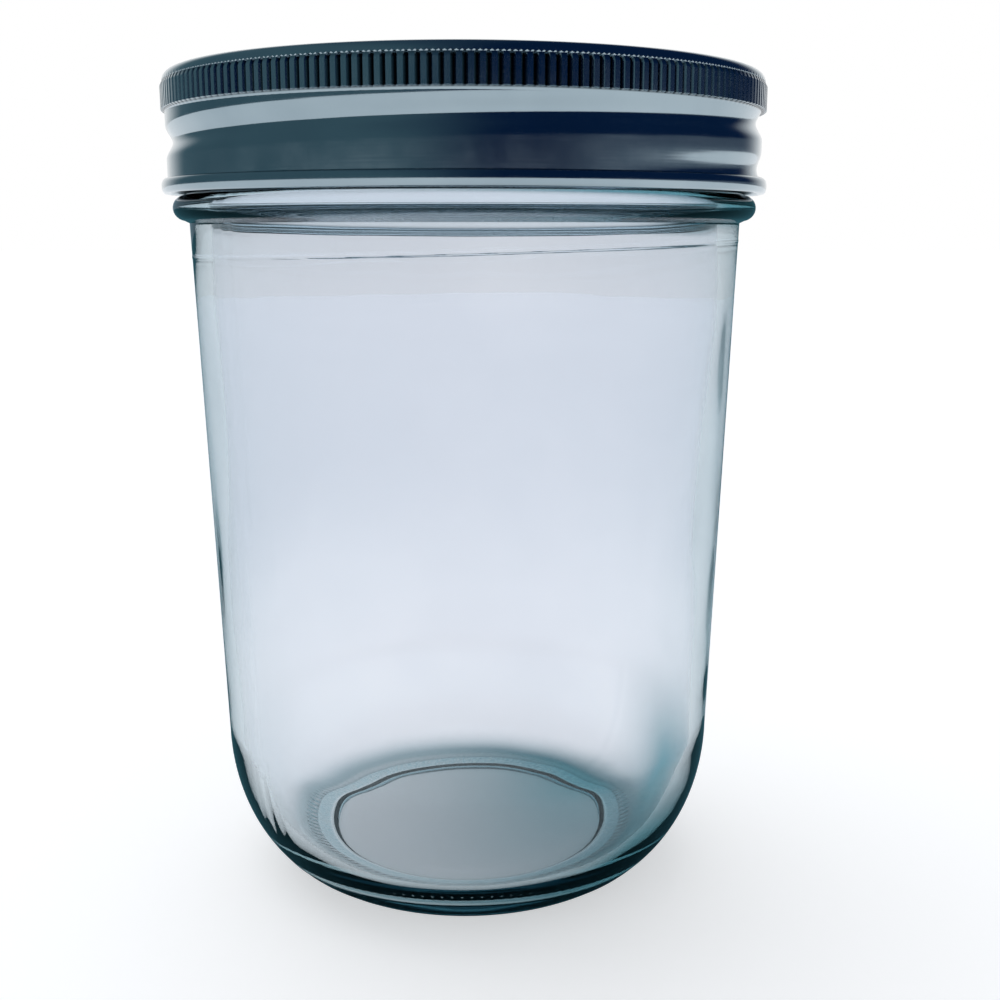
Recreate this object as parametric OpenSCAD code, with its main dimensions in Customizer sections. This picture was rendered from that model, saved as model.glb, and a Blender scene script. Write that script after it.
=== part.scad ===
// Wide-mouth glass jar with a two-piece screw closure, the kind that a sourdough starter lives in.
// Millimetres, Z up. The origin is the centre of the ring that the jar stands on.
// Angles run anticlockwise seen from above, from the +X side.

/* [Glass body] */
// Height of the glass, from the table to the rim that the lid seals on
rim_h = 120.75; // [112:0.25:150]
// Outside diameter of the body just under the transfer bead
body_top_d = 82.4; // [80:0.1:83]
// Outside diameter of the body where the heel begins
body_low_d = 77.2; // [72:0.1:81]
// Thickness of the body's side wall
wall_t = 2.3; // [1.8:0.1:3.2]
// Height of the inner floor above the table
floor_t = 5; // [4:0.1:8]
// Height of the rounded heel
heel_h = 22.8; // [14:0.1:30]
// Angle at which the heel leaves the table at the foot ring
heel_lift = 16; // [8:1:28]
// Outside diameter of the flat foot ring
foot_d = 52.8; // [46:0.1:58]
// Width of the flat foot ring
foot_w = 2.8; // [2:0.1:4]
// Height of the hollow under the base
punt_h = 1.6; // [0.8:0.1:2.4]

/* [Neck of the glass] */
// Outside diameter over the glass thread
thread_d = 86.4; // [85.6:0.1:87]
// Height of the thread above the neck that carries it
thread_h = 1.65; // [1.2:0.05:2.2]
// Thickness of the neck's wall between the threads
neck_wall = 3.35; // [2.6:0.05:5]
// Rise of the thread in one turn
pitch = 6.35; // [5.6:0.05:7]
// Turns of thread on the glass
thread_turns = 1.3; // [1:0.05:1.5]
// Depth of the thread's upper end below the rim
thread_drop = 3.4; // [3:0.1:4.5]
// Width of the thread along its crest
thread_crest_w = 1.4; // [1:0.1:1.8]
// Width of the thread where it meets the neck
thread_root_w = 3.2; // [2.4:0.1:3.4]
// Outside diameter of the transfer bead below the thread
bead_d = 87; // [85:0.1:88.4]
// Height of the transfer bead
bead_w = 3.7; // [2.5:0.1:4]
// Depth of the bead's middle below the rim
bead_drop = 17.6; // [17.3:0.1:22]
// Radius that rounds the rim
rim_round = 1; // [0.6:0.1:1.3]

/* [Screw band] */
// Height of the band
band_h = 16.9; // [16:0.1:18]
// Thickness of the band's sheet
band_t = 0.28; // [0.22:0.02:0.36]
// Height of the slope between the knurl and the skirt
knurl_slope_h = 1.6; // [1:0.1:2]
// How far the band's flange laps over the lid disc
flange_lap = 4.8; // [3.5:0.1:5.5]
// Radius of the shoulder between flange and knurl
shoulder_r = 1.3; // [0.8:0.1:1.8]
// Step from the skirt out to the bottom of the knurl
knurl_step = 0.22; // [0.15:0.01:0.4]
// Depth of the knurl
knurl_depth = 0.25; // [0.15:0.01:0.35]
// Number of teeth round the knurl
knurl_count = 200; // [120:10:240]
// Height of the knurl
knurl_h = 3.9; // [3:0.1:4.4]
// Width of the rolled thread groove at the skirt
groove_w = 3.2; // [2.4:0.1:3.4]
// Depth below the rim at which the groove crosses the +X side
groove_drop = 12.35; // [12:0.05:12.8]
// How far the curl at the hem stands out from the inside of the skirt
curl_out = 1.2; // [1:0.05:1.6]
// Height of the curl at the hem
curl_h = 2.15; // [1.6:0.05:2.4]

/* [Lid disc] */
// Thickness of the disc's sheet
disc_t = 0.22; // [0.18:0.02:0.3]
// Depth of the disc's turned-down lip
lip_h = 1.3; // [0.8:0.1:1.6]
// Depth of the middle panel below the rim channel
panel_drop = 0.9; // [0.5:0.1:1.1]
// Diameter of the raised ring pressed into the panel
panel_ring_d = 60; // [52:1:66]
// Width of the raised ring
panel_ring_w = 3; // [2:0.1:4]
// Height of the raised ring
panel_ring_h = 0.4; // [0.2:0.1:0.6]
// Diameter of the domed button in the middle
button_d = 40; // [24:1:46]
// Height of the domed button
button_h = 0.8; // [0.4:0.1:1]

/* [Sealing ring] */
// Thickness of the sealing ring
seal_t = 0.75; // [0.5:0.05:1]

/* [Clearances] */
// Radial gap between the glass thread and the inside of the skirt
skirt_gap = 0.5; // [0.4:0.05:0.7]
// How deep the rolled thread reaches behind the glass thread
thread_lap = 0.48; // [0.3:0.02:0.6]
// Radial gap between the lid disc and the rolled thread, so that the disc drops in
disc_gap = 0.32; // [0.2:0.02:0.5]
// Radial gap between the panel's step and the mouth
panel_gap = 0.35; // [0.2:0.05:0.6]
// Radial gap between the sealing ring and the rounded corners of its channel
seal_gap = 0.1; // [0.05:0.05:0.3]
// Plain strip between the band's shoulder and the top of its knurl
knurl_gap = 0.1; // [0.05:0.05:0.3]
// Height from the curl up to the middle of the rolled thread's lower end
groove_gap = 0.75; // [0.6:0.05:1]

/* [Hidden] */
$fn = 180;

glass_colour = [0.72, 0.83, 0.86, 0.45];
band_colour = [0.3, 0.38, 0.43];
disc_colour = [0.62, 0.66, 0.69];
seal_colour = [0.45, 0.46, 0.47];

// Steps along a rounded stretch of an outline, and degrees between the sections of a thread
arc_steps = 14;
thread_step = 5;
// Angle over which a thread rises out of its wall at each end
thread_fade = 25;

// Heights, counted from the table
seal_top = rim_h + seal_t;
disc_top = seal_top + disc_t;
band_top = disc_top + band_t;
band_low = band_top - band_h;
curl_top = band_low + curl_h;
knurl_top = band_top - shoulder_r - knurl_gap;
knurl_low = knurl_top - knurl_h;
bead_z = rim_h - bead_drop;
bead_low = bead_z - bead_w / 2;

// Radii, counted from the axis
thread_r = thread_d / 2;
neck_r = thread_r - thread_h;
mouth_r = neck_r - neck_wall;
skirt_in = thread_r + skirt_gap;
skirt_out = skirt_in + band_t;
knurl_root = skirt_out + knurl_step;
groove_in = thread_r - thread_lap;
groove_depth = skirt_in - groove_in;
disc_r = groove_in - disc_gap;
window_r = disc_r - flange_lap;
panel_r = mouth_r - panel_gap;
foot_r = foot_d / 2;
body_low_r = body_low_d / 2;
body_top_r = body_top_d / 2;

// The groove climbs from just above the curl to just under the knurl
groove_start_z = curl_top + groove_gap;
groove_end_z = knurl_low - groove_w / 2;
groove_z0 = rim_h - groove_drop;
groove_a0 = (groove_start_z - groove_z0) / pitch * 360;
groove_a1 = (groove_end_z - groove_z0) / pitch * 360;

// The glass thread lies above the groove by half of each, so that their flanks pass clear
thread_z0 = groove_z0 + (thread_crest_w + groove_w) / 2;
thread_a1 = (rim_h - thread_drop - thread_z0) / pitch * 360;
thread_a0 = thread_a1 - thread_turns * 360;

// Points of an elliptical arc with half axes a and b round (r, z), from angle a0 to angle a1
function arc(r, z, a, b, a0, a1, n = arc_steps) =
    [for (i = [0 : n]) let (t = a0 + (a1 - a0) * i / n) [r + a * cos(t), z + b * sin(t)]];

function reversed(points) = [for (i = [len(points) - 1 : -1 : 0]) points[i]];

// How far a thread has risen at angle a: 0 at its two ends, 1 between them
function rise(a, a0, a1) = max(0, min(1, (a - a0) / thread_fade, (a1 - a) / thread_fade));

// One section of a thread, given as [radius, height] points, turned to angle a
function turned(section, a) = [for (p = section) [p[0] * cos(a), p[0] * sin(a), p[1]]];

// A solid that runs through a list of sections with equal numbers of points
module swept(sections) {
    n = len(sections[0]);
    rings = len(sections);
    points = [for (s = sections) each s];
    sides = [for (i = [0 : rings - 2], j = [0 : n - 1])
        let (a = i * n + j, b = i * n + (j + 1) % n)
        each [[a, b, a + n], [b, b + n, a + n]]];
    first = [for (j = [1 : n - 2]) [0, j + 1, j]];
    last = [for (j = [1 : n - 2]) let (k = (rings - 1) * n) [k, k + j, k + j + 1]];
    polyhedron(points, concat(sides, first, last), convexity = 6);
}

// Angles of the sections of a thread from a0 to a1, evenly spaced
function thread_angles(a0, a1) =
    let (n = ceil((a1 - a0) / thread_step)) [for (i = [0 : n]) a0 + (a1 - a0) * i / n];

// Outer outline of the glass, from the foot ring up to the rim. The wall ends just under the bead
wall_join = 0.3;
heel_a = (body_low_r - foot_r) / (1 - sin(heel_lift));
heel_b = heel_h / cos(heel_lift);
outer_side = concat(
    arc(body_low_r - heel_a, heel_h, heel_a, heel_b, heel_lift - 90, 0),
    [[body_top_r, bead_low - wall_join]],
    arc(neck_r, bead_z, bead_d / 2 - neck_r, bead_w / 2, -80, 90, 10),
    arc(neck_r - rim_round, rim_h - rim_round, rim_round, rim_round, 0, 90, 6)
);

// Inner outline, from the rim down to the middle of the floor. The inner heel starts a little above the
// outer one, the flat floor ends just inside the foot ring, and the neck widens to the body in a slope
inner_heel_rise = 2;
floor_corner = 1;
neck_slope_h = 6;
inner_low_r = body_low_r - wall_t;
inner_heel_z = heel_h + inner_heel_rise;
inner_flat_r = foot_r - floor_corner;
inner_side = concat(
    arc(mouth_r + rim_round, rim_h - rim_round, rim_round, rim_round, 90, 180, 6),
    [[mouth_r, bead_low], [body_top_r - wall_t, bead_low - neck_slope_h]],
    arc(inner_flat_r, inner_heel_z, inner_low_r - inner_flat_r, inner_heel_z - floor_t, 0, -90),
    [[0, floor_t]]
);

// Hollow under the base, from the middle out to the foot ring: its rounded edge, and how high that starts
punt_edge = 2.2;
punt_edge_share = 0.85;
punt = concat(
    [[0, punt_h]],
    arc(foot_r - foot_w - punt_edge, 0, punt_edge, punt_h * punt_edge_share, 90, 0, 5)
);

// How deep the glass thread is rooted in the neck, how much wider it is there, how deep its faded ends
// sink, and where between crest and root its flanks bend
ridge_root = 0.8;
ridge_spread = 0.4;
ridge_sink = 0.3;
ridge_bend = 0.3;

// Ridge of the glass thread at angle a
function glass_thread_section(a) =
    let (k = rise(a, thread_a0, thread_a1),
        z = thread_z0 + pitch * a / 360,
        root = neck_r - ridge_root,
        crest = neck_r - ridge_sink + (thread_h + ridge_sink) * k,
        root_half = thread_root_w / 2 + ridge_spread,
        crest_half = thread_crest_w / 2,
        mid = (root + 2 * crest) / 3,
        mid_half = crest_half + (root_half - crest_half) * ridge_bend)
    [[root, z - root_half], [mid, z - mid_half], [crest, z - crest_half],
     [crest, z + crest_half], [mid, z + mid_half], [root, z + root_half]];

module glass_jar() {
    color(glass_colour) union() {
        rotate_extrude() polygon(concat(punt, outer_side, inner_side));
        swept([for (a = thread_angles(thread_a0, thread_a1)) turned(glass_thread_section(a), a)]);
    }
}

// Shares of the groove's half width and depth that give its rounded section
groove_shape = [[-0.6, 0.62], [-0.25, 1], [0.25, 1], [0.6, 0.62]];
// How far short of its wall a thread starts, so that its flanks always cross that wall
thread_root = 0.07;

// Section of the rolled thread at angle a: wall is the radius it is pressed from, back the radius behind
// it, floor_z the lowest height that it may take
function groove_section(a, wall, back, floor_z) =
    let (k = rise(a, groove_a0, groove_a1),
        z = groove_z0 + pitch * a / 360,
        start = wall + thread_root)
    concat([[back, max(z - groove_w / 2, floor_z)]],
        [for (s = groove_shape) [start - (groove_depth + thread_root) * k * s[1],
            max(z + s[0] * groove_w / 2, floor_z)]],
        [[back, z + groove_w / 2]]);

module rolled_thread(wall, back, floor_z) {
    swept([for (a = thread_angles(groove_a0, groove_a1))
        turned(reversed(groove_section(a, wall, back, floor_z)), a)]);
}

// The sheet of the band in section: flange, shoulder, knurled wall, skirt and the curl at the hem
curl_a = curl_out / 2;
curl_b = curl_h / 2;
curl_r = skirt_in + curl_a;
curl_z = band_low + curl_b;
curl_end = 470;
band_outside = concat(
    [[window_r, band_top]],
    arc(knurl_root - shoulder_r, band_top - shoulder_r, shoulder_r, shoulder_r, 90, 0, 8),
    [[knurl_root, knurl_low], [skirt_out, knurl_low - knurl_slope_h]],
    arc(curl_r, curl_z, curl_a - band_t, curl_b - band_t, 180, curl_end)
);
band_inside = concat(
    arc(curl_r, curl_z, curl_a, curl_b, curl_end, 180),
    [[skirt_in, knurl_low - knurl_slope_h], [knurl_root - band_t, knurl_low]],
    arc(knurl_root - shoulder_r, band_top - shoulder_r, shoulder_r - band_t, shoulder_r - band_t, 0, 90, 8),
    [[window_r, band_top - band_t]]
);

// Outline of the knurl seen from above: a flat crest and a V notch for each tooth, as shares of its pitch
tooth = 360 / knurl_count;
crest_share = 0.4;
notch_share = 0.7;
knurl_skin = 0.05;
notch_r = knurl_root + knurl_skin;
crest_r = notch_r + knurl_depth;
knurl_outline = [for (i = [0 : knurl_count - 1])
    each [[crest_r * cos(i * tooth), crest_r * sin(i * tooth)],
          [crest_r * cos((i + crest_share) * tooth), crest_r * sin((i + crest_share) * tooth)],
          [notch_r * cos((i + notch_share) * tooth), notch_r * sin((i + notch_share) * tooth)]]];

// How far the rolled thread's ridge runs down inside the curl, how close its groove comes to the curl's
// top, and how far the groove's cutter stands out past the skirt
ridge_under = 1;
groove_over_curl = 0.02;
groove_reach = 0.5;

module screw_band() {
    color(band_colour) difference() {
        union() {
            rotate_extrude() polygon(concat(band_outside, band_inside));
            translate([0, 0, knurl_low]) linear_extrude(height = knurl_h) difference() {
                polygon(knurl_outline);
                circle(r = knurl_root - band_t / 2);
            }
            rolled_thread(skirt_in, skirt_in + band_t / 2, curl_top - ridge_under);
        }
        rolled_thread(skirt_out, knurl_root + groove_reach, curl_top + groove_over_curl);
    }
}

// The disc's upper face in section, from the middle outwards; its under face is one sheet lower
panel_z = disc_top - panel_drop;
button_r = button_d / 2;
ring_r = panel_ring_d / 2;
panel_step = 0.5;
panel_draft = 0.2;
lip_r = 0.8;
ring_steps = 8;
disc_upper = concat(
    [for (i = [0 : arc_steps]) let (t = i / arc_steps)
        [button_r * t, panel_z + button_h * (1 + cos(180 * t)) / 2]],
    [for (i = [0 : ring_steps]) let (t = i / ring_steps)
        [ring_r + panel_ring_w * (t - 0.5), panel_z + panel_ring_h * (1 - cos(360 * t)) / 2]],
    [[panel_r - panel_draft, panel_z], [panel_r + panel_step - panel_draft, disc_top]],
    arc(disc_r - lip_r, disc_top - lip_r, lip_r, lip_r, 90, 0, 6),
    [[disc_r, disc_top - lip_h]]
);
disc_under = concat(
    [[disc_r - disc_t, disc_top - lip_h]],
    arc(disc_r - lip_r, disc_top - lip_r, lip_r - disc_t, lip_r - disc_t, 0, 90, 6),
    [[panel_r + panel_step, disc_top - disc_t], [panel_r, panel_z - disc_t]],
    [for (i = [ring_steps : -1 : 0]) let (t = i / ring_steps)
        [ring_r + panel_ring_w * (t - 0.5), panel_z - disc_t + panel_ring_h * (1 - cos(360 * t)) / 2]],
    [for (i = [arc_steps : -1 : 0]) let (t = i / arc_steps)
        [button_r * t, panel_z - disc_t + button_h * (1 + cos(180 * t)) / 2]]
);

module lid_disc() {
    color(disc_colour) rotate_extrude() polygon(concat(disc_upper, disc_under));
}

// The sealing ring fills the disc's channel and rests on the rim
seal_in = panel_r + panel_step + seal_gap;
seal_out = disc_r - lip_r - seal_gap;
cut_over = 1;

module sealing_ring() {
    color(seal_colour) translate([0, 0, rim_h]) difference() {
        cylinder(h = seal_t, r = seal_out);
        translate([0, 0, -cut_over]) cylinder(h = seal_t + 2 * cut_over, r = seal_in);
    }
}

glass_jar();
lid_disc();
sealing_ring();
screw_band();
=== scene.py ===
"""A wide-mouth glass jar with a two-piece screw closure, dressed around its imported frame.

Metres, +Z up, the origin in the middle of the ring that the jar stands on. Each piece is a lathed form:
an outline is drawn vertex by vertex in the XZ plane, spun about Z, pressed with its threads and seams,
and given its thickness. A turn runs from 0 to 1 round the axis, from +X towards +Y.
"""

import math

import bpy
from bpy.props import FloatProperty, FloatVectorProperty, IntProperty, PointerProperty
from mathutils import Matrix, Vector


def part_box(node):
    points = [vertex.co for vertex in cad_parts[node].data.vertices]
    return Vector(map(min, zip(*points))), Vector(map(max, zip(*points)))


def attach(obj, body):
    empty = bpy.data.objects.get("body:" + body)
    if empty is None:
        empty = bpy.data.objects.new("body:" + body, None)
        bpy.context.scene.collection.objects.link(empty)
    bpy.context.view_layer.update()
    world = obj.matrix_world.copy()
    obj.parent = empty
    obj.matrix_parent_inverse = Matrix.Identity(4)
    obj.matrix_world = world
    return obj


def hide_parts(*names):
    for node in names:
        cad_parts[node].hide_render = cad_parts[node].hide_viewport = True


bl_info = {
    "name": "Screw-top glass jar",
    "version": (1, 0, 0),
    "blender": (4, 5, 0),
    "location": "View3D > Sidebar > Jar",
    "description": "Builds a glass jar, its lid disc, sealing ring and screw band around their fixed frame",
    "category": "Add Mesh",
}

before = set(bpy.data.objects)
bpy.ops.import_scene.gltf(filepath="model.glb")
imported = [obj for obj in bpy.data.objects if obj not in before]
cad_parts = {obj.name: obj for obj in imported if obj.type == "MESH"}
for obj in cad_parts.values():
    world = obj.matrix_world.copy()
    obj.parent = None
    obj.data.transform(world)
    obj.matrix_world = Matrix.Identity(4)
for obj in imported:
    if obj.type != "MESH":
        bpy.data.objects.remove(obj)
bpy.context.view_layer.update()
GLASS_LOW, GLASS_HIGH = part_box("glass_jar")
BAND_LOW, BAND_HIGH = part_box("screw_band")
DISC_LOW, DISC_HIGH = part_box("lid_disc")
SEAL_LOW, SEAL_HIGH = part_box("sealing_ring")

TURN = math.tau
MERGE = 1e-6


def length(name, description, default):
    """A length property in metres."""
    return FloatProperty(name=name, description=description, default=default, unit="LENGTH", precision=5)


def number(name, description, default):
    """A plain number property."""
    return FloatProperty(name=name, description=description, default=default, precision=3)


def angle(name, description, degrees):
    """An angle property, given in degrees."""
    return FloatProperty(name=name, description=description, default=math.radians(degrees), subtype="ANGLE")


def count(name, description, default):
    """A property that counts."""
    return IntProperty(name=name, description=description, default=default, min=1)


def colour(name, description, default):
    """A colour property."""
    return FloatVectorProperty(
        name=name, description=description, default=default, subtype="COLOR", size=3, min=0, max=1
    )


class GlassSettings(bpy.types.PropertyGroup):
    """Sizes and finish of the glass jar."""

    columns: count("Columns", "Faces round the jar", 240)
    rim_h: length("Rim height", "From the table to the rim", GLASS_HIGH.z)
    rim_round: length("Rim rounding", "Radius that rounds the rim", 0.001)
    body_top_r: length("Body radius, top", "Outside, just under the transfer bead", 0.0412)
    body_low_r: length("Body radius, low", "Outside, where the heel begins", 0.0386)
    wall: length("Wall", "Thickness of the side wall", 0.0023)
    floor: length("Floor", "Height of the inner floor above the table", 0.005)
    floor_inset: length("Floor inset", "From the foot's edge in to the edge of the flat inner floor", 0.001)
    heel_h: length("Heel height", "Height of the rounded heel", 0.0228)
    heel_lift: angle("Heel lift", "Slope of the heel where it meets the foot ring", 16)
    heel_rise: length("Inner heel rise", "From the top of the outer heel up to that of the inner one", 0.002)
    foot_r: length("Foot radius", "Outside of the flat foot ring", 0.0264)
    foot_w: length("Foot width", "Width of the flat foot ring", 0.0028)
    punt_h: length("Punt height", "Height of the hollow under the base", 0.0016)
    punt_edge: length("Punt edge", "Width of the curve round the hollow", 0.0034)
    neck_r: length("Neck radius", "Outside, between the threads", 0.04155)
    mouth_r: length("Mouth radius", "Inside of the mouth", 0.0382)
    slope_h: length("Neck slope", "Height in which the inner wall draws in to the neck", 0.016)
    bead_r: length("Bead radius", "Outside of the transfer bead", GLASS_HIGH.x)
    bead_w: length("Bead height", "Height of the transfer bead", 0.0037)
    bead_drop: length("Bead drop", "Depth of the bead's middle below the rim", 0.0176)
    bead_corner: length("Bead corner", "Height of the corner under the bead", 0.0003)
    thread_h: length("Thread height", "How far the thread stands out", 0.00165)
    thread_crest: length("Thread crest", "Half the width of the thread's top", 0.0007)
    thread_root: length("Thread root", "Half the width of the thread's foot", 0.0016)
    thread_drop: length("Thread drop", "Depth of the thread's upper end below the rim", 0.0034)
    thread_turns: number("Thread turns", "Turns of thread", 1.3)
    thread_fade: number("Thread fade", "Turns in which the thread's ends rise and sink", 0.07)
    thread_lag: length("Thread lag", "Height of the thread's centre line above the groove's", 0.0023)
    seam_h: length("Seam relief", "How far the mould seams stand out", 0.00005)
    seam_turn: number("Seam turn", "Where one of the two upright seams runs", 0.6)
    seam_crest: length("Seam crest", "Half the width of an upright seam's top", 0.0002)
    seam_root: length("Seam root", "Half the width of an upright seam's foot", 0.0012)
    ring_z: length("Ring seam height", "Height of the seam that runs round under the bead", 0.0973)
    ring_tilt: length("Ring seam tilt", "How far that seam rises and falls", 0.0012)
    ring_root: length("Ring seam width", "Half the width of that seam", 0.0004)
    ring_span: length("Ring seam span", "Half the height of the fine rows that carry that seam", 0.0018)
    parting_r: length("Parting line radius", "Where the base mould parts on the heel", 0.0306)
    parting_crest: length("Parting line crest", "Half the width of the parting line's top", 0.0001)
    parting_root: length("Parting line root", "Half the width of the parting line's foot", 0.0007)
    wave_h: length("Wave depth", "How deep the inner wall waves", 0.00035)
    wave_rise: length("Wave rise", "Height in which the waves grow, above the floor", 0.05)
    wave_fall: length("Wave fall", "Height in which the waves fade, below the bead", 0.03)
    tint: colour("Glass tint", "Colour that thick glass takes", (0.32, 0.60, 0.66))
    depth: number("Tint depth", "Absorption per metre", 65.0)
    # The wall's tone is darker towards the neck than near the heel.
    upper: colour("Upper haze", "Tone of the wall near the neck", (0.885, 0.875, 0.915))
    lower: colour("Lower haze", "Tone of the wall near the heel", (1.0, 0.975, 1.0))
    tone_shift_low: length("Haze start", "Height up to which the lower haze is full", 0.030)
    tone_shift_high: length("Haze end", "Height from which the upper haze is full", 0.062)
    # Painted shade: the edge tone darkens thick glass seen edge on, partly as the tint of its long path and
    # partly as shade, more on the right, and shades the heel low by the floor.
    edge: colour("Edge tone", "Tone of thick glass at a grazing angle", (0.04, 0.19, 0.24))
    # Painted shade: the foot tone darkens the ring that stands on the table.
    foot_shade: colour("Foot tone", "Tone of the stippled ring under the foot", (0.10, 0.24, 0.30))
    stipples: count("Stipples", "Number of fine ribs round the foot", 120)


class BandSettings(bpy.types.PropertyGroup):
    """Sizes and finish of the screw band."""

    sheet: length("Sheet", "Thickness of the band's sheet", 0.00028)
    window_r: length("Window radius", "Inner edge of the flange", 0.0376)
    shoulder_r: length("Shoulder radius", "Between flange and knurl", 0.0013)
    crest_r: length("Knurl radius", "Outside of the knurl's ribs", 0.0445)
    root_r: length("Knurl root", "Radius just above the knurl", 0.0442)
    notch: length("Notch depth", "Depth of the gap between two ribs", 0.0005)
    lead: length("Knurl corner", "Height of the corner at the ribs' lower ends", 0.00012)
    upper_lead: length("Knurl slope", "Height of the slope at the ribs' upper ends", 0.0006)
    knurl_count: count("Ribs", "Number of ribs round the knurl", 200)
    rib_columns: count("Columns of a rib", "Faces round the knurl for each rib and its gap", 4)
    knurl_top: length("Knurl top", "Height of the knurl's upper end", 0.1206)
    knurl_h: length("Knurl height", "Length of the ribs", 0.0039)
    skirt_r: length("Skirt radius", "Outside of the skirt", 0.04398)
    groove_w: length("Groove width", "Width of the rolled thread", 0.0048)
    groove_depth: length("Groove depth", "Depth of the rolled thread", 0.00098)
    groove_z: length("Groove height", "Where the groove crosses the +X side", 0.1089)
    groove_lift: length("Groove lift", "From the curl up to the lower end of the groove", 0.0004)
    groove_fade_low: number("Lower fade", "Turns in which the groove's lower end deepens", 0.28)
    groove_fade_high: number("Upper fade", "Turns in which the groove's upper end fades", 0.08)
    groove_ease: length("Groove ease", "Height above the curl in which the groove reaches its depth", 0.0012)
    pitch: length("Pitch", "Rise of the thread in one turn", 0.00635)
    curl_out: length("Curl width", "How far the curl stands out from the skirt's inside", 0.0012)
    curl_h: length("Curl height", "Height of the curl", 0.00215)
    dark: colour("Dark metal", "Darker tone of the tinplate", (0.27, 0.345, 0.39))
    light: colour("Light metal", "Lighter tone of the tinplate", (0.35, 0.43, 0.475))
    gloss: number("Roughness", "Roughness of the tinplate", 0.13)
    # Painted shade: the gaps between the knurl's ribs are darkened nearly to black, as shade in their
    # recesses, fading at the ribs' ends.
    gap_shade: colour("Grime", "Tone of the gaps between the ribs", (0.01, 0.02, 0.03))
    gap_shade_share: number("Grime share", "How much of that tone the gaps take", 0.85)
    gap_shade_edge: length("Grime edge", "Height in which the grime fades at the ribs' ends", 0.0002)


class DiscSettings(bpy.types.PropertyGroup):
    """Sizes and finish of the lid disc and its sealing ring."""

    sheet: length("Sheet", "Thickness of the disc's sheet", 0.00022)
    lip_h: length("Lip height", "Depth of the turned-down lip", 0.0013)
    lip_r: length("Lip radius", "Rounding of the disc's edge", 0.0008)
    panel_r: length("Panel radius", "Inner panel that drops into the mouth", 0.03765)
    panel_drop: length("Panel drop", "Depth of the panel below the rim channel", 0.0009)
    panel_step: length("Panel step", "Width of the sloped wall round the panel", 0.0005)
    ring_r: length("Ring radius", "Radius of the pressed ring", 0.03)
    ring_w: length("Ring width", "Width of the pressed ring", 0.003)
    ring_h: length("Ring height", "Height of the pressed ring", 0.0004)
    button_r: length("Button radius", "Radius of the domed middle", 0.02)
    button_h: length("Button height", "Height of the domed middle", 0.0008)
    dark: colour("Dark metal", "Darker tone of the disc", (0.36, 0.41, 0.44))
    light: colour("Light metal", "Lighter tone of the disc", (0.50, 0.54, 0.56))
    gloss: number("Roughness", "Roughness of the disc", 0.24)
    seal_r: length("Seal radius", "Inside of the sealing ring", 0.03845)
    seal_corner: length("Seal corner", "Size of the sealing ring's cut corners", 0.00015)
    seal: colour("Sealing ring", "Colour of the sealing compound", (0.12, 0.13, 0.135))


class StudioSettings(bpy.types.PropertyGroup):
    """Camera, floor and light."""

    eye_y: length("Camera distance", "From the jar's axis", -0.203)
    eye_z: length("Camera height", "Above the table", 0.10015)
    pitch: angle("Pitch", "Downward tilt", 11.8)
    yaw: angle("Yaw", "Turn about Z", -1.47)
    lens: number("Lens", "Focal length in millimetres", 46.66)
    sensor: number("Sensor", "Width of the sensor in millimetres", 36.0)
    clip: length("Clip start", "Nearest distance that the camera sees", 0.01)
    sun: number("Sun", "Strength of the soft overhead light", 1.15)
    sun_tilt: angle("Sun tilt", "Turn of the sun about X", -28)
    sun_roll: angle("Sun roll", "Turn of the sun about Y", -18)
    sun_spread: angle("Sun spread", "Width of the sun, which softens its shadow", 70)
    floor_size: length("Floor size", "Side of the floor", 12.0)
    floor_dark: colour("Floor, darker", "Darker tone of the floor", (0.64, 0.65, 0.66))
    floor_light: colour("Floor, lighter", "Lighter tone of the floor", (0.67, 0.68, 0.69))
    floor_glow: number("Floor white", "Share of the floor's white that no shadow takes", 0.54)
    floor_mirrored: colour("Floor in glass", "What glass reflects of the floor", (0.05, 0.16, 0.20))
    dim_left: colour("Dim side, left", "What metal reflects from the front left", (0.09, 0.165, 0.20))
    dim_right: colour("Dim side, right", "What metal reflects from the front right", (0.005, 0.022, 0.07))
    dim_low: colour("Dim side, low right", "What metal reflects from low on the right", (0.15, 0.19, 0.24))
    room_left: colour("Room, left", "What glass reflects from the left", (0.16, 0.25, 0.31))
    room_right: colour("Room, right", "What glass reflects from the right", (0.03, 0.11, 0.14))
    ceiling: colour("Ceiling", "What is seen high above through glass", (0.1, 0.15, 0.19))
    fill: colour("Fill", "Soft light from all around on matt surfaces", (0.45, 0.47, 0.5))


def arc(r, z, a, b, start, end, steps):
    """Points of an elliptical arc round (r, z), angles in degrees."""
    angles = [math.radians(start + (end - start) * i / steps) for i in range(steps + 1)]
    return [(r + a * math.cos(t), z + b * math.sin(t)) for t in angles]


def line(start, end, steps):
    """Points of a straight stretch, without its first."""
    return [
        (start[0] + (end[0] - start[0]) * i / steps, start[1] + (end[1] - start[1]) * i / steps)
        for i in range(1, steps + 1)
    ]


def smooth(x):
    """0 below 0, 1 above 1, and a soft step between them."""
    x = max(0, min(1, x))
    return x * x * (3 - 2 * x)


def ridge(x, half_crest, half_root):
    """1 within half_crest of the middle, 0 past half_root."""
    return smooth((half_root - abs(x)) / (half_root - half_crest))


def helix(turn, z, middle, pitch, ends, fades, half_crest, half_root):
    """Share of a thread's height at a turn and a height.

    The thread's middle crosses turn 0 at the height middle. ends holds its first and last turn, and fades
    the turns in which it rises at the first and sinks at the last.
    """
    first, last = ends
    best = 0
    for wrap in range(math.floor(first), math.ceil(last) + 1):
        along = turn + wrap
        if first <= along <= last:
            tapered = smooth(min((along - first) / fades[0], (last - along) / fades[1]))
            best = max(best, tapered * ridge(z - middle - pitch * along, half_crest, half_root))
    return best


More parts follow.
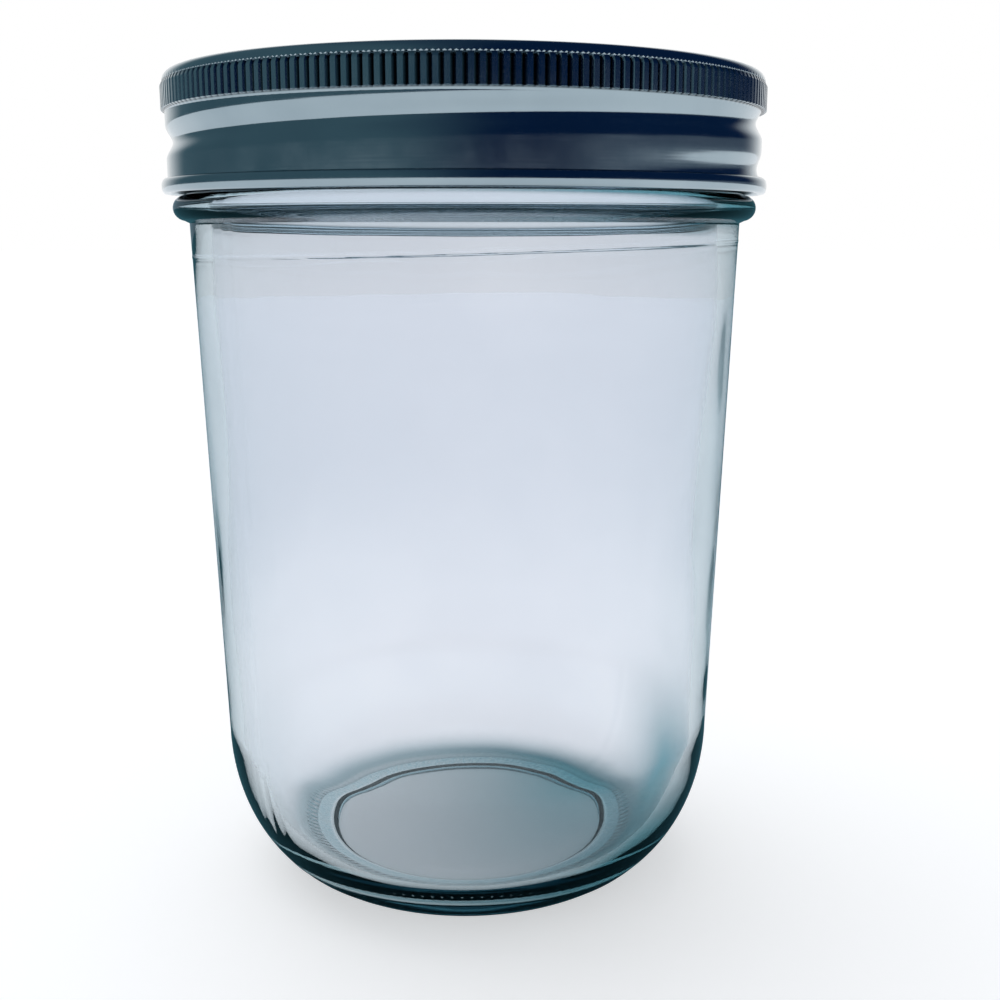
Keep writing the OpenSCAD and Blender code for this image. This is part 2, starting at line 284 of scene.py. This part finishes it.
def lathe(name, outline, steps):
    """Draws an outline vertex by vertex in the XZ plane and spins it about Z."""
    bpy.ops.object.select_all(action="DESELECT")
    bpy.ops.mesh.primitive_plane_add(size=0.01, location=(0, 0, 0))
    piece = bpy.context.object
    piece.name = name
    piece.data.name = name
    bpy.ops.object.mode_set(mode="EDIT")
    bpy.ops.mesh.select_all(action="SELECT")
    bpy.ops.mesh.merge(type="CENTER")
    here = outline[0]
    bpy.ops.transform.translate(value=(here[0], 0, here[1]))
    for there in outline[1:]:
        step = (there[0] - here[0], 0, there[1] - here[1])
        bpy.ops.mesh.extrude_region_move(TRANSFORM_OT_translate={"value": step})
        here = there
    bpy.ops.mesh.select_all(action="SELECT")
    bpy.ops.mesh.spin(steps=steps, angle=TURN, center=(0, 0, 0), axis=(0, 0, 1))
    bpy.ops.mesh.select_all(action="SELECT")
    bpy.ops.mesh.remove_doubles(threshold=MERGE)
    bpy.ops.mesh.normals_make_consistent(inside=False)
    bpy.ops.object.mode_set(mode="OBJECT")
    return piece


def press(piece, label, strength, amount):
    """Moves vertices along their normals by strength metres times amount(radius, turn, height)."""
    group = piece.vertex_groups.new(name=label)
    for vertex in piece.data.vertices:
        x, y, z = vertex.co
        share = amount(math.hypot(x, y), (math.atan2(y, x) / TURN) % 1, z)
        if share > 0:
            group.add([vertex.index], min(share, 1), "REPLACE")
    bpy.ops.object.modifier_add(type="DISPLACE")
    displace = piece.modifiers[-1]
    displace.vertex_group = label
    displace.mid_level = 0
    displace.strength = strength
    bpy.ops.object.modifier_apply(modifier=displace.name)
    piece.vertex_groups.remove(piece.vertex_groups[label])


def choose(piece, mode, items, chosen):
    """Selects, in edit mode, the mesh items of one kind for which chosen(item) is true."""
    bpy.ops.object.mode_set(mode="EDIT")
    bpy.ops.mesh.select_mode(type=mode)
    bpy.ops.mesh.select_all(action="DESELECT")
    bpy.ops.object.mode_set(mode="OBJECT")
    for item in items:
        item.select = chosen(item)
    bpy.ops.object.mode_set(mode="EDIT")


def squeeze(piece, inside, factor):
    """Draws a piece's chosen vertices towards the axis by a factor."""
    choose(piece, "VERT", piece.data.vertices, inside)
    bpy.ops.transform.resize(value=(factor, factor, 1), center_override=(0, 0, 0))
    bpy.ops.object.mode_set(mode="OBJECT")


def sharpen(piece, inside):
    """Marks the edges sharp whose two ends are both inside a place."""
    within = [inside(vertex) for vertex in piece.data.vertices]
    choose(piece, "EDGE", piece.data.edges, lambda edge: all(within[i] for i in edge.vertices))
    bpy.ops.mesh.mark_sharp()
    bpy.ops.mesh.select_mode(type="VERT")
    bpy.ops.object.mode_set(mode="OBJECT")


def thicken(piece, thickness):
    """Gives a sheet its thickness, away from its outer face."""
    bpy.ops.object.modifier_add(type="SOLIDIFY")
    solid = piece.modifiers[-1]
    solid.thickness = thickness
    solid.offset = -1
    bpy.ops.object.modifier_apply(modifier=solid.name)


def finish_piece(piece, body, material, nodes, smooth_below):
    """Shades a piece, gives it its material and ties it to its body."""
    bpy.ops.object.shade_smooth_by_angle(angle=math.radians(smooth_below))
    piece.data.materials.clear()
    piece.data.materials.append(material)
    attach(piece, body)
    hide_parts(*nodes)


def wire(tree, kind, settings=None, inputs=None):
    """Adds a node. An input that is a socket is linked, and any other is set as its value."""
    node = tree.nodes.new(kind)
    for key, value in (settings or {}).items():
        setattr(node, key, value)
    for key, value in (inputs or {}).items():
        if isinstance(value, bpy.types.NodeSocket):
            tree.links.new(value, node.inputs[key])
        else:
            node.inputs[key].default_value = value
    return node


def maths(tree, operation, first, second=0.0):
    """A Math node's output."""
    return wire(tree, "ShaderNodeMath", {"operation": operation}, {0: first, 1: second}).outputs[0]


def product(tree, first, *others):
    """The product of several values."""
    for other in others:
        first = maths(tree, "MULTIPLY", first, other)
    return first


def between(tree, value, low, high, to_low=0.0, to_high=1.0):
    """A soft step of a value from low to high."""
    ranged = wire(
        tree,
        "ShaderNodeMapRange",
        {"interpolation_type": "SMOOTHSTEP"},
        {0: value, 1: low, 2: high, 3: to_low, 4: to_high},
    )
    return ranged.outputs[0]


def fading(tree, value, low, high):
    """1 up to low, 0 from high, and a soft step between them."""
    return between(tree, value, low, high, 1.0, 0.0)


def window(tree, value, start, full, fade, end):
    """1 while a value lies between full and fade, and 0 before start and past end."""
    return product(tree, between(tree, value, start, full), fading(tree, value, fade, end))


def blend_colours(tree, share, first, second):
    """A colour between two others."""
    mixed = wire(tree, "ShaderNodeMix", {"data_type": "RGBA"}, {"Factor": share})
    for socket, value in ((mixed.inputs[6], first), (mixed.inputs[7], second)):
        if isinstance(value, bpy.types.NodeSocket):
            tree.links.new(value, socket)
        else:
            socket.default_value = (*value, 1)
    return mixed.outputs[2]


def split(tree, vector):
    """The three parts of a vector."""
    return wire(tree, "ShaderNodeSeparateXYZ", None, {0: vector}).outputs


def cylinder_coordinates(tree):
    """Radius, angle, height and X of the shaded point, and its whole place, from Object coordinates."""
    place = tree.nodes.new("ShaderNodeTexCoord").outputs["Object"]
    x, y, height = split(tree, place)
    squares = maths(tree, "ADD", product(tree, x, x), product(tree, y, y))
    return maths(tree, "SQRT", squares), maths(tree, "ARCTAN2", y, x), height, x, place


def new_group(name, inputs, outputs):
    """A shader node group with named inputs and outputs."""
    group = bpy.data.node_groups.new(name, "ShaderNodeTree")
    for label, kind, value in inputs:
        socket = group.interface.new_socket(label, in_out="INPUT", socket_type=kind)
        socket.default_value = value
    for label, kind in outputs:
        group.interface.new_socket(label, in_out="OUTPUT", socket_type=kind)
    return group, group.nodes.new("NodeGroupInput"), group.nodes.new("NodeGroupOutput")


def clouding_group():
    """Soft patches, for a surface's tone and its roughness."""
    group, ins, outs = new_group(
        "clouding",
        [
            ("Scale", "NodeSocketFloat", 60.0),
            ("Low", "NodeSocketFloat", 0.0),
            ("High", "NodeSocketFloat", 1.0),
        ],
        [("Value", "NodeSocketFloat")],
    )
    scale, low, high = ins.outputs[0], ins.outputs[1], ins.outputs[2]
    place = group.nodes.new("ShaderNodeTexCoord").outputs["Object"]
    noise = wire(group, "ShaderNodeTexNoise", None, {"Vector": place, "Scale": scale, "Detail": 5.0})
    ranged = wire(
        group, "ShaderNodeMapRange", None, {0: noise.outputs[0], 1: 0.3, 2: 0.7, 3: low, 4: high}
    )
    group.links.new(ranged.outputs[0], outs.inputs[0])
    return group


def turned_lines_group():
    """Fine lines that run round the axis, as on spun and rolled sheet."""
    group, ins, outs = new_group(
        "turned_lines", [("Lines per metre", "NodeSocketFloat", 4000.0)], [("Height", "NodeSocketFloat")]
    )
    radius, angle_round, height, _, _ = cylinder_coordinates(group)
    stretched = {
        0: product(group, radius, ins.outputs[0]),
        1: product(group, maths(group, "COSINE", angle_round), 3.0),
        2: product(group, height, ins.outputs[0]),
    }
    point = wire(group, "ShaderNodeCombineXYZ", None, stretched).outputs[0]
    noise = wire(group, "ShaderNodeTexNoise", None, {"Vector": point, "Scale": 1.0, "Detail": 3.0})
    group.links.new(noise.outputs[0], outs.inputs[0])
    return group


SHARED_GROUPS = {"clouding": clouding_group, "turned_lines": turned_lines_group}


def use_group(tree, name, inputs):
    """A shared group, made the first time, placed in a material with its own values."""
    shared = bpy.data.node_groups.get(name) or SHARED_GROUPS[name]()
    return wire(tree, "ShaderNodeGroup", {"node_tree": shared}, inputs).outputs[0]


def new_material(name):
    """A material's node tree and its Principled shader."""
    material = bpy.data.materials.new(name)
    material.use_nodes = True
    return material, material.node_tree, material.node_tree.nodes["Principled BSDF"]


def add_bump(tree, shader, strength, distance, height):
    """Gives a shader its fine relief."""
    bump = wire(tree, "ShaderNodeBump", None, {"Strength": strength, "Distance": distance, "Height": height})
    tree.links.new(bump.outputs[0], shader.inputs["Normal"])


def glass_mirror(tree):
    """1 on a ray that clear glass reflects, and 0 on any other."""
    rays = tree.nodes.new("ShaderNodeLightPath").outputs
    reflected = maths(tree, "SUBTRACT", 1.0, rays["Is Transmission Ray"])
    return product(tree, rays["Is Singular Ray"], reflected)


def sheet_metal(name, dark, light, roughness, lines, paint_shade=None):
    """Tinplate: patchy tone, turned lines and a soft, uneven gloss. A function given last may paint shade
    into its tone.
    """
    material, tree, shader = new_material(name)
    tone = blend_colours(tree, use_group(tree, "clouding", {"Scale": 45.0}), tuple(dark), tuple(light))
    # Painted shade, when a function for it is given, darkens parts of the tone.
    if paint_shade:
        tone = paint_shade(tree, tone)
    tree.links.new(tone, shader.inputs["Base Color"])
    smoother, rougher = roughness * 0.8, roughness * 1.25
    gloss = use_group(tree, "clouding", {"Scale": 220.0, "Low": smoother, "High": rougher})
    tree.links.new(gloss, shader.inputs["Roughness"])
    shader.inputs["Metallic"].default_value = 1.0
    add_bump(tree, shader, 0.05, 0.00004, use_group(tree, "turned_lines", {"Lines per metre": lines}))
    return material


def seal_compound(tone):
    """The matt ring of sealing compound."""
    material, tree, shader = new_material("seal_compound")
    patch = use_group(tree, "clouding", {"Scale": 300.0})
    pale = tuple(min(1, part * 1.5) for part in tone)
    tree.links.new(blend_colours(tree, patch, tuple(tone), pale), shader.inputs["Base Color"])
    gloss = use_group(tree, "clouding", {"Scale": 500.0, "Low": 0.5, "High": 0.7})
    tree.links.new(gloss, shader.inputs["Roughness"])
    add_bump(tree, shader, 0.3, 0.0001, patch)
    return material


def clear_glass(jar):
    """Pressed glass: a tint in its depth, cloudy tone that darkens towards the neck, painted shade on thick
    edges and round the foot, soft waves, and a stippled ring round the foot.
    """
    material, tree, shader = new_material("clear_glass")
    shader.inputs["Transmission Weight"].default_value = 1.0
    shader.inputs["IOR"].default_value = 1.48
    shader.inputs["Specular Tint"].default_value = (0.6, 0.8, 0.85, 1)
    radius, angle_round, height, x, place = cylinder_coordinates(tree)
    foot_r = jar.foot_r

    # The wall's tone goes from the lower to the darker upper one as the height rises, with random patches.
    patches = use_group(tree, "clouding", {"Scale": 26.0, "Low": -0.3, "High": 0.3})
    share = maths(tree, "ADD", between(tree, height, jar.tone_shift_low, jar.tone_shift_high), patches)
    share = maths(tree, "MINIMUM", maths(tree, "MAXIMUM", share, 0.0), 1.0)
    height_tone = blend_colours(tree, share, tuple(jar.lower), tuple(jar.upper))

    # Thick glass is darkened where it is seen edge on, in the heel and in the bead: partly the tint of its
    # long path, partly painted shade, which grows towards the right.
    grazing = wire(tree, "ShaderNodeLayerWeight", None, {"Blend": 0.5}).outputs["Facing"]
    in_heel = fading(tree, height, 0.012, 0.030)
    bead_low = bead_heights(jar)[0]
    in_bead = between(tree, height, bead_low - 0.0018, bead_low + 0.0002)
    thick = maths(tree, "MAXIMUM", in_heel, in_bead)
    shade_to_the_right = between(tree, x, -0.03, 0.02, 0.15, 1.0)
    edge = product(tree, between(tree, grazing, 0.2, 0.6), thick, shade_to_the_right)
    # Painted shade low on the heel, just outside the foot, where the jar meets the floor.
    shade_by_floor = between(tree, height, 0.0015, 0.006, 0.75, 0.0)
    base = product(tree, shade_by_floor, between(tree, radius, foot_r, foot_r + 0.002))
    toned = blend_colours(tree, maths(tree, "MAXIMUM", edge, base), height_tone, tuple(jar.edge))

    # The ring that the jar stands on is slightly frosted and darkened with painted shade from the table, and
    # fine ribs run round its edge.
    foot_shade_round = window(tree, radius, foot_r - 0.0032, foot_r - 0.0022, foot_r - 0.0004, foot_r + 0.0016)
    ring = product(tree, foot_shade_round, fading(tree, height, 0.001, 0.002))
    toned = blend_colours(tree, product(tree, ring, 0.9), toned, tuple(jar.foot_shade))
    tree.links.new(toned, shader.inputs["Base Color"])
    tree.links.new(product(tree, ring, 0.15), shader.inputs["Roughness"])
    ribs = maths(tree, "SINE", product(tree, angle_round, float(jar.stipples)))
    near_foot = window(tree, radius, foot_r - 0.0004, foot_r + 0.0004, foot_r + 0.0022, foot_r + 0.0032)
    stipple = product(tree, ribs, near_foot, fading(tree, height, 0.002, 0.0035))

    waves = wire(tree, "ShaderNodeTexNoise", None, {"Vector": place, "Scale": 55.0, "Detail": 1.0})
    relief = maths(tree, "ADD", product(tree, waves.outputs[0], 1.2), product(tree, stipple, 0.4))
    add_bump(tree, shader, 0.5, 0.0002, relief)

    volume = wire(tree, "ShaderNodeVolumeAbsorption", None, {"Color": (*jar.tint, 1), "Density": jar.depth})
    tree.links.new(volume.outputs[0], tree.nodes["Material Output"].inputs["Volume"])
    return material


def bead_heights(jar):
    """Heights of the transfer bead's lower end, its middle and its upper end."""
    middle = jar.rim_h - jar.bead_drop
    return middle - jar.bead_w / 2, middle, middle + jar.bead_w / 2


def outer_wall_r(jar, z):
    """Outside radius of the tapered wall at a height."""
    wall_top = bead_heights(jar)[0] - jar.bead_corner
    share = (z - jar.heel_h) / (wall_top - jar.heel_h)
    return jar.body_low_r + (jar.body_top_r - jar.body_low_r) * share


def inner_wall_r(jar, z):
    """Inside radius of the tapered wall at a height."""
    wall_low = jar.heel_h + jar.heel_rise
    share = (z - wall_low) / (bead_heights(jar)[0] - wall_low)
    return jar.body_low_r - jar.wall + (jar.body_top_r - jar.body_low_r) * share


def outer_face(jar):
    """Outline of the jar's outside, from the middle of the base up to the rim."""
    bead_low, bead_z, bead_high = bead_heights(jar)
    foot_in = jar.foot_r - jar.foot_w
    punt_in = foot_in - jar.punt_edge
    points = [(0, jar.punt_h)]
    points += line(points[-1], (punt_in, jar.punt_h), 6)
    points += arc(punt_in, 0, jar.punt_edge, jar.punt_h, 90, 0, 6)[1:]
    points += line((foot_in, 0), (jar.foot_r, 0), 2)

    # The heel is the part of an ellipse that leaves the foot at heel_lift and ends upright at the wall.
    heel_a = (jar.body_low_r - jar.foot_r) / (1 - math.sin(jar.heel_lift))
    heel_b = jar.heel_h / math.cos(jar.heel_lift)
    heel_start = math.degrees(jar.heel_lift) - 90
    points += arc(jar.body_low_r - heel_a, jar.heel_h, heel_a, heel_b, heel_start, 0, 30)[1:]

    ring_low, ring_high = jar.ring_z - jar.ring_span, jar.ring_z + jar.ring_span
    for z, rows in ((ring_low, 40), (ring_high, 20), (bead_low - jar.bead_corner, 4)):
        points += line(points[-1], (outer_wall_r(jar, z), z), rows)
    points += arc(jar.neck_r, bead_z, jar.bead_r - jar.neck_r, jar.bead_w / 2, -80, 90, 14)
    rim_low = jar.rim_h - jar.rim_round
    points += line((jar.neck_r, bead_high), (jar.neck_r, rim_low), 36)
    points += arc(jar.neck_r - jar.rim_round, rim_low, jar.rim_round, jar.rim_round, 0, 90, 6)[1:]
    return points


def inner_face(jar):
    """Outline of the jar's inside, from the rim down to the middle of the floor."""
    bead_low = bead_heights(jar)[0]
    rim_low = jar.rim_h - jar.rim_round
    points = arc(jar.mouth_r + jar.rim_round, rim_low, jar.rim_round, jar.rim_round, 90, 180, 6)
    points += line((jar.mouth_r, rim_low), (jar.mouth_r, bead_low), 6)
    slope_rows = 20
    for i in range(1, slope_rows + 1):
        z = bead_low - jar.slope_h * i / slope_rows
        points += [(jar.mouth_r + (inner_wall_r(jar, z) - jar.mouth_r) * smooth(i / slope_rows), z)]
    wall_low = jar.heel_h + jar.heel_rise
    wall_low_r = inner_wall_r(jar, wall_low)
    flat_r = jar.foot_r - jar.floor_inset
    points += line(points[-1], (wall_low_r, wall_low), 40)
    points += arc(flat_r, wall_low, wall_low_r - flat_r, wall_low - jar.floor, 0, -90, 26)[1:]
    points += line((flat_r, jar.floor), (0, jar.floor), 10)
    return points


class JAR_OT_glass(bpy.types.Operator):
    """Make the glass jar"""

    bl_idname = "jar.glass"
    bl_label = "Glass jar"

    def execute(self, context):
        jar = context.scene.jar_glass
        band = context.scene.jar_band
        bead_low, _, bead_high = bead_heights(jar)
        piece = lathe("jar_of_glass", outer_face(jar) + inner_face(jar), jar.columns)

        thread_z = band.groove_z + jar.thread_lag
        last = (jar.rim_h - jar.thread_drop - thread_z) / band.pitch
        ends = (last - jar.thread_turns, last)
        fades = (jar.thread_fade, jar.thread_fade)

        def neck_thread(r, turn, z):
            if r < (jar.mouth_r + jar.neck_r) / 2 or z < bead_high or z > jar.rim_h - jar.rim_round:
                return 0
            return helix(turn, z, thread_z, band.pitch, ends, fades, jar.thread_crest, jar.thread_root)

        press(piece, "thread", jar.thread_h, neck_thread)

        def mould_seams(r, turn, z):
            # Only the outside, from just past the foot ring up to the bead.
            outside = r > jar.body_low_r - jar.wall / 2 or z < jar.heel_h
            if not outside or z > bead_low or r < jar.foot_r + jar.floor_inset:
                return 0
            # Two upright seams lie half a turn apart, and their distance is measured along the wall.
            apart = abs((turn - jar.seam_turn + 0.25) % 0.5 - 0.25) * TURN * r
            upright = ridge(apart, jar.seam_crest, jar.seam_root)
            ring = ridge(z - jar.ring_z - jar.ring_tilt * math.cos(turn * TURN), 0, jar.ring_root)
            on_heel = z < jar.heel_h / 2
            parting = ridge(r - jar.parting_r, jar.parting_crest, jar.parting_root) if on_heel else 0
            return max(upright, ring, parting)

        press(piece, "seams", jar.seam_h, mould_seams)
        wave_low = jar.floor + jar.floor_inset

        def waves(r, turn, z):
            # Only the inside, above the floor and below the bead.
            if r > inner_wall_r(jar, z) + jar.wall / 2 or z < wave_low or z > bead_low:
                return 0
            shown = smooth((z - wave_low) / jar.wave_rise) * smooth((bead_low - z) / jar.wave_fall)
            # Three and five broad waves to a turn, with finer ones on them, all leaning with the height.
            a = turn * TURN
            slow = math.sin(3 * a + 0.7 + 25 * z) + 0.7 * math.sin(5 * a - 1.3 - 40 * z)
            fast = 0.45 * math.sin(13 * a + 2.1 + 2.2 * math.sin(55 * z)) + 0.2 * math.sin(29 * a + 60 * z)
            return shown * (0.5 + 0.2 * (slow + fast))

        press(piece, "waves", jar.wave_h, waves)
        finish_piece(piece, "jar", clear_glass(jar), ["glass_jar"], 60)
        return {"FINISHED"}


class JAR_OT_band(bpy.types.Operator):
    """Make the screw band"""

    bl_idname = "jar.band"
    bl_label = "Screw band"

    def execute(self, context):
        band = context.scene.jar_band
        top = BAND_HIGH.z
        knurl_top = band.knurl_top
        knurl_low = knurl_top - band.knurl_h
        curl_a = band.curl_out / 2
        curl_b = band.curl_h / 2
        curl_r = band.skirt_r - band.sheet + curl_a
        curl_z = BAND_LOW.z + curl_b
        curl_top = BAND_LOW.z + band.curl_h
        shoulder = band.shoulder_r
        flange_r = band.root_r - shoulder
        outline = [(band.window_r, top)]
        outline += line(outline[0], (flange_r, top), 2)
        outline += arc(flange_r, top - shoulder, shoulder, shoulder, 90, 0, 6)[1:]
        outline += [(band.root_r, knurl_top), (band.crest_r, knurl_top - band.upper_lead)]
        outline += line(outline[-1], (band.crest_r, knurl_low + band.lead), 2)
        outline += [(band.skirt_r, knurl_low - band.lead)]
        outline += line(outline[-1], (band.skirt_r, curl_z), 32)
        outline += arc(curl_r, curl_z, curl_a - band.sheet, curl_b - band.sheet, 180, 470, 11)[1:]
        columns = band.knurl_count * band.rib_columns
        piece = lathe("screw_band_sheet", outline, columns)

        def in_gap(vertex):
            x, y, z = vertex.co
            on_wall = knurl_low < z < knurl_top and math.hypot(x, y) > band.root_r
            return on_wall and round(math.atan2(y, x) / TURN * columns) % band.rib_columns == 0

        squeeze(piece, in_gap, 1 - band.notch / band.crest_r)
        ends = (
            (curl_top + band.groove_lift - band.groove_z) / band.pitch,
            (knurl_low - band.groove_z) / band.pitch,
        )
        fades = (band.groove_fade_low, band.groove_fade_high)

        def rolled(r, turn, z):
            if z > knurl_low - band.lead or z < curl_z:
                return 0
            above_curl = smooth((z - curl_z) / band.groove_ease)
            return above_curl * helix(turn, z, band.groove_z, band.pitch, ends, fades, 0, band.groove_w / 2)

        press(piece, "groove", -band.groove_depth, rolled)
        thicken(piece, band.sheet)

        # Painted shade: the gaps between the knurl's ribs are darkened, as shade in their recesses.
        def paint_shade(tree, tone):
            radius, _, height, _, _ = cylinder_coordinates(tree)
            fade = band.gap_shade_edge
            along = window(tree, height, knurl_low - fade, knurl_low, knurl_top - fade, knurl_top)
            gap_r = band.crest_r - band.notch
            within = between(tree, radius, gap_r, band.crest_r, band.gap_shade_share, 0.0)
            return blend_colours(tree, product(tree, along, within), tone, tuple(band.gap_shade))

        material = sheet_metal("band_tinplate", band.dark, band.light, band.gloss, 5000.0, paint_shade)
        finish_piece(piece, "band", material, ["screw_band"], 70)

        def on_knurl(vertex):
            x, y, z = vertex.co
            return math.hypot(x, y) > band.skirt_r - band.lead and knurl_low < z < knurl_top

        sharpen(piece, on_knurl)
        return {"FINISHED"}


class JAR_OT_disc(bpy.types.Operator):
    """Make the lid disc"""

    bl_idname = "jar.disc"
    bl_label = "Lid disc"

    def execute(self, context):
        disc = context.scene.jar_disc
        top = DISC_HIGH.z
        edge_r = DISC_HIGH.x
        panel_z = top - disc.panel_drop
        button_rows, ring_rows = 20, 12
        outline = [
            (disc.button_r * t, panel_z + disc.button_h * (1 + math.cos(math.pi * t)) / 2)
            for t in (i / button_rows for i in range(button_rows + 1))
        ]
        outline += [
            (disc.ring_r + disc.ring_w * (t - 0.5), panel_z + disc.ring_h * (1 - math.cos(TURN * t)) / 2)
            for t in (i / ring_rows for i in range(ring_rows + 1))
        ]
        outline += [(disc.panel_r, panel_z), (disc.panel_r + disc.panel_step, top)]
        outline += arc(edge_r - disc.lip_r, top - disc.lip_r, disc.lip_r, disc.lip_r, 90, 0, 8)
        outline += line(outline[-1], (edge_r, top - disc.lip_h), 2)
        piece = lathe("disc_of_lid", outline, 180)
        thicken(piece, disc.sheet)
        material = sheet_metal("disc_tinplate", disc.dark, disc.light, disc.gloss, 3500.0)
        finish_piece(piece, "lid", material, ["lid_disc"], 40)
        return {"FINISHED"}


class JAR_OT_seal(bpy.types.Operator):
    """Make the sealing ring"""

    bl_idname = "jar.seal"
    bl_label = "Sealing ring"

    def execute(self, context):
        disc = context.scene.jar_disc
        inner_r, outer_r = disc.seal_r, SEAL_HIGH.x
        low, high = SEAL_LOW.z, SEAL_HIGH.z
        corner = disc.seal_corner
        outline = [(inner_r, low), (outer_r, low), (outer_r, high - corner), (outer_r - corner, high)]
        outline += [(inner_r + corner, high), (inner_r, high - corner), (inner_r, low)]
        piece = lathe("ring_of_seal", outline, 180)
        finish_piece(piece, "lid", seal_compound(disc.seal), ["sealing_ring"], 40)
        return {"FINISHED"}


class JAR_OT_stage(bpy.types.Operator):
    """Make the floor, the light and the camera"""

    bl_idname = "jar.stage"
    bl_label = "Stage"

    def execute(self, context):
        studio = context.scene.jar_studio
        self.make_floor(studio)
        self.make_world(studio)
        bpy.ops.object.select_all(action="DESELECT")
        bpy.ops.object.light_add(type="SUN", rotation=(studio.sun_tilt, studio.sun_roll, 0))
        sun = bpy.context.object
        sun.data.energy = studio.sun
        sun.data.angle = studio.sun_spread
        sun.visible_glossy = False
        sun.visible_transmission = False
        level = math.radians(90)
        bpy.ops.object.camera_add(
            location=(0, studio.eye_y, studio.eye_z), rotation=(level - studio.pitch, 0, studio.yaw)
        )
        camera = bpy.context.object
        camera.data.sensor_width = studio.sensor
        camera.data.lens = studio.lens
        camera.data.clip_start = studio.clip
        context.scene.camera = camera
        context.scene.view_settings.view_transform = "Standard"
        return {"FINISHED"}

    def make_floor(self, studio):
        """A plain white floor that keeps the jar's shadow. Glass reflects it as part of a dim room."""
        bpy.ops.object.select_all(action="DESELECT")
        bpy.ops.mesh.primitive_plane_add(size=studio.floor_size, location=(0, 0, 0))
        floor = bpy.context.object
        floor.name = "floor"
        material, tree, shader = new_material("floor_white")
        patches = use_group(tree, "clouding", {"Scale": 3.0})
        pale = blend_colours(tree, patches, tuple(studio.floor_dark), tuple(studio.floor_light))
        mirrored = glass_mirror(tree)
        tone = blend_colours(tree, mirrored, pale, tuple(studio.floor_mirrored))
        tree.links.new(tone, shader.inputs["Base Color"])
        shader.inputs["Roughness"].default_value = 0.9
        shader.inputs["Specular IOR Level"].default_value = 0.0
        rays = tree.nodes.new("ShaderNodeLightPath").outputs
        seen = maths(tree, "MAXIMUM", rays["Is Camera Ray"], rays["Is Glossy Ray"])
        seen = maths(tree, "MAXIMUM", seen, rays["Is Transmission Ray"])
        glow = product(tree, seen, maths(tree, "SUBTRACT", 1.0, mirrored), studio.floor_glow)
        shader.inputs["Emission Color"].default_value = (1, 1, 1, 1)
        tree.links.new(glow, shader.inputs["Emission Strength"])
        floor.data.materials.append(material)

    def make_world(self, studio):
        """White behind the jar and dim in front of it, where metal and glass reflect the room."""
        white = (1, 1, 1)
        world = bpy.data.worlds.new("studio")
        bpy.context.scene.world = world
        world.use_nodes = True
        tree = world.node_tree
        x, y, z = split(tree, tree.nodes.new("ShaderNodeTexCoord").outputs["Generated"])
        rays = tree.nodes.new("ShaderNodeLightPath").outputs

        # Metal sees a white wall behind the jar, up to a dark ceiling, and a dim room elsewhere.
        below_ceiling = between(tree, z, 0.5, 0.9, 1.0, 0.1)
        wall = product(tree, between(tree, y, 0.62, 0.95), below_ceiling)
        dim = blend_colours(
            tree, between(tree, x, -0.6, 0.25), tuple(studio.dim_left), tuple(studio.dim_right)
        )
        low_right = product(tree, between(tree, x, 0.45, 0.9), fading(tree, z, 0.04, 0.1))
        dim = blend_colours(tree, low_right, dim, tuple(studio.dim_low))
        by_metal = blend_colours(tree, wall, dim, white)

        # Light that comes through glass is white, and darker from high above.
        through_glass = blend_colours(tree, between(tree, z, 0.2, 0.6), white, tuple(studio.ceiling))
        by_glass = blend_colours(
            tree, between(tree, x, -0.5, 0.5), tuple(studio.room_left), tuple(studio.room_right)
        )
        shown = blend_colours(tree, rays["Is Transmission Ray"], by_metal, through_glass)
        shown = blend_colours(tree, glass_mirror(tree), shown, by_glass)
        shown = blend_colours(tree, rays["Is Diffuse Ray"], shown, tuple(studio.fill))
        shown = blend_colours(tree, rays["Is Camera Ray"], shown, white)
        tree.links.new(shown, tree.nodes["Background"].inputs["Color"])


class JAR_PT_panel(bpy.types.Panel):
    """The buttons that make the jar"""

    bl_idname = "JAR_PT_panel"
    bl_label = "Jar"
    bl_space_type = "VIEW_3D"
    bl_region_type = "UI"
    bl_category = "Jar"

    def draw(self, context):
        for step in STEPS:
            self.layout.operator(step.bl_idname)


SETTINGS = {
    "jar_glass": GlassSettings,
    "jar_band": BandSettings,
    "jar_disc": DiscSettings,
    "jar_studio": StudioSettings,
}
STEPS = (JAR_OT_stage, JAR_OT_glass, JAR_OT_seal, JAR_OT_disc, JAR_OT_band)
CLASSES = (*SETTINGS.values(), *STEPS, JAR_PT_panel)


def register():
    """Registers the classes and hangs the settings on the scene."""
    for each in CLASSES:
        bpy.utils.register_class(each)
    for name, group in SETTINGS.items():
        setattr(bpy.types.Scene, name, PointerProperty(type=group))


def unregister():
    """Undoes register."""
    for name in SETTINGS:
        delattr(bpy.types.Scene, name)
    for each in reversed(CLASSES):
        bpy.utils.unregister_class(each)


def main():
    """Builds everything in order."""
    register()
    bpy.ops.jar.stage()
    bpy.ops.jar.glass()
    bpy.ops.jar.seal()
    bpy.ops.jar.disc()
    bpy.ops.jar.band()


if __name__ == "__main__":
    main()
